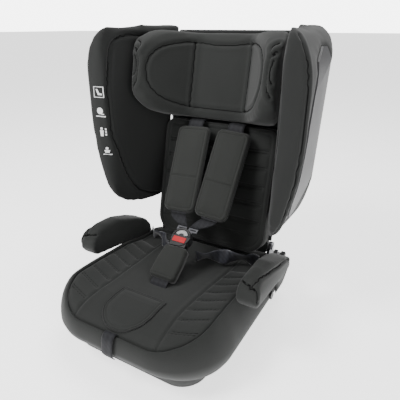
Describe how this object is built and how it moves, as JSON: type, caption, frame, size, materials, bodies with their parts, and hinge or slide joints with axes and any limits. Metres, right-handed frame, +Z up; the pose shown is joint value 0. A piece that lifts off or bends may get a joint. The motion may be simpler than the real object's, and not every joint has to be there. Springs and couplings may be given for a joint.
{
  "type": "convertible car seat",
  "caption": "Child car seat with a quilted pan, cantilevered armrests, deep side wings, sliding headrest, crotch buckle harness and retracting lower anchor arms.",
  "frame": {"origin": "centre of the bounding box at floor level", "axes": "+Z up, -Y the way the seated child faces, +X the child's left"},
  "size_m": [0.475, 0.5259, 0.6065],
  "materials": {
    "charcoal_fabric": "woven",
    "pad_fabric": "woven",
    "webbing": "ribbed webbing",
    "black_plastic": "fine texture",
    "grey_plastic": "ribbed texture",
    "red_plastic": "gloss",
    "steel": "zinc plated",
    "rubber": "matt",
    "foam": "expanded bead foam",
    "release_grey": "satin"
  },
  "bodies": {
    "base": {"base_shell": "charcoal_fabric", "base_tray": "black_plastic", "rubber_feet": "rubber", "hinge_brackets": "steel", "hinge_rod": "steel", "seat_cushion": "charcoal_fabric", "crotch_strap": "webbing", "crotch_pad": "pad_fabric", "buckle_body": "black_plastic", "buckle_spring": "steel", "adjuster_housing": "black_plastic", "adjuster_spring": "steel", "adjuster_strap": "webbing", "hub_caps": "black_plastic", "arm_guides": "steel", "lap_straps": "webbing", "tongue_left": "steel", "tongue_right": "steel", "armrest_cover_left": "charcoal_fabric", "armrest_cover_right": "charcoal_fabric", "armrest_core_left": "foam", "armrest_core_right": "foam"},
    "flap": {"adjuster_flap": "charcoal_fabric"},
    "buckle_button": {"buckle_button": "red_plastic"},
    "adjuster_button": {"adjuster_button": "release_grey"},
    "anchor_carriage": {"anchor_arm_left": "steel", "anchor_arm_right": "steel", "anchor_crossbar": "steel", "latch_housing_left": "black_plastic", "latch_housing_right": "black_plastic", "latch_pins": "steel"},
    "hook_left": {"latch_hook_left": "steel"},
    "hook_right": {"latch_hook_right": "steel"},
    "latch_button_left": {"latch_button_left": "release_grey"},
    "latch_button_right": {"latch_button_right": "release_grey"},
    "backrest": {"back_shell": "black_plastic", "back_pad": "charcoal_fabric", "upper_liner": "charcoal_fabric", "rear_cover": "black_plastic", "headrest_rails": "steel", "harness_splitter": "steel", "rear_webbing": "webbing", "wing_pad_left": "charcoal_fabric", "wing_pad_right": "charcoal_fabric", "wing_frame_left": "black_plastic", "wing_frame_right": "black_plastic", "side_panel_left": "grey_plastic", "side_panel_right": "grey_plastic", "shoulder_strap_left": "webbing", "shoulder_strap_right": "webbing", "lower_webbing": "webbing"},
    "headrest": {"headrest_cover": "charcoal_fabric", "headrest_core": "foam", "headrest_plate": "black_plastic", "headrest_carriage": "black_plastic", "headrest_lever_spring": "steel", "upper_webbing": "webbing"},
    "headrest_lever": {"headrest_lever": "black_plastic"},
    "pad_left": {"shoulder_pad_left": "pad_fabric"},
    "pad_right": {"shoulder_pad_right": "pad_fabric"}
  },
  "joints": [
    {"name": "backrest_recline", "type": "hinge", "parent": "base", "child": "backrest", "pos_m": [0, 0.147, 0.124], "axis": [-1, 0, 0], "range_deg": [0, 16], "deforming": ["lower_webbing"]},
    {"name": "headrest_slide", "type": "slide", "parent": "backrest", "child": "headrest", "axis": [0, 0.2079, 0.9781], "range_m": [0, 0.15], "deforming": ["upper_webbing", "rear_webbing"]},
    {"name": "headrest_release", "type": "slide", "parent": "headrest", "child": "headrest_lever", "axis": [0, 0.2079, 0.9781], "range_m": [0, 0.006], "stiffness_N_per_m": 600, "springref_m": -0.004, "deforming": ["headrest_lever_spring"]},
    {"name": "buckle_press", "type": "slide", "parent": "base", "child": "buckle_button", "axis": [0, 0.5344, -0.8453], "range_m": [0, 0.0035], "stiffness_N_per_m": 800, "springref_m": -0.003, "deforming": ["buckle_spring"]},
    {"name": "adjuster_press", "type": "slide", "parent": "base", "child": "adjuster_button", "axis": [0, 0, -1], "range_m": [0, 0.004], "stiffness_N_per_m": 800, "springref_m": -0.003, "deforming": ["adjuster_spring"]},
    {"name": "flap_lift", "type": "hinge", "parent": "base", "child": "flap", "pos_m": [0, -0.145, 0.1242], "axis": [-1, 0, 0], "range_deg": [0, 70]},
    {"name": "anchor_extend", "type": "slide", "parent": "base", "child": "anchor_carriage", "axis": [0, 1, 0], "range_m": [0, 0.08]},
    {"name": "pad_slide_left", "type": "slide", "parent": "backrest", "child": "pad_left", "axis": [-0.0559, -0.482, -0.8744], "range_m": [0, 0.02]},
    {"name": "pad_slide_right", "type": "slide", "parent": "backrest", "child": "pad_right", "axis": [0.0559, -0.482, -0.8744], "range_m": [0, 0.02]},
    {"name": "latch_release_left", "type": "slide", "parent": "anchor_carriage", "child": "latch_button_left", "axis": [0, -1, 0], "range_m": [0, 0.006], "stiffness_N_per_m": 600, "springref_m": -0.003},
    {"name": "hook_turn_left", "type": "hinge", "parent": "anchor_carriage", "child": "hook_left", "pos_m": [0.14, 0.207, 0.056], "axis": [1, 0, 0], "range_deg": [0, 22]},
    {"name": "latch_release_right", "type": "slide", "parent": "anchor_carriage", "child": "latch_button_right", "axis": [0, -1, 0], "range_m": [0, 0.006], "stiffness_N_per_m": 600, "springref_m": -0.003},
    {"name": "hook_turn_right", "type": "hinge", "parent": "anchor_carriage", "child": "hook_right", "pos_m": [-0.14, 0.207, 0.056], "axis": [1, 0, 0], "range_deg": [0, 22]}
  ],
  "couplings": [
    {"joint": "hook_turn_left", "follows": "latch_release_left", "rad_per_m": 60},
    {"joint": "hook_turn_right", "follows": "latch_release_right", "rad_per_m": 60}
  ]
}
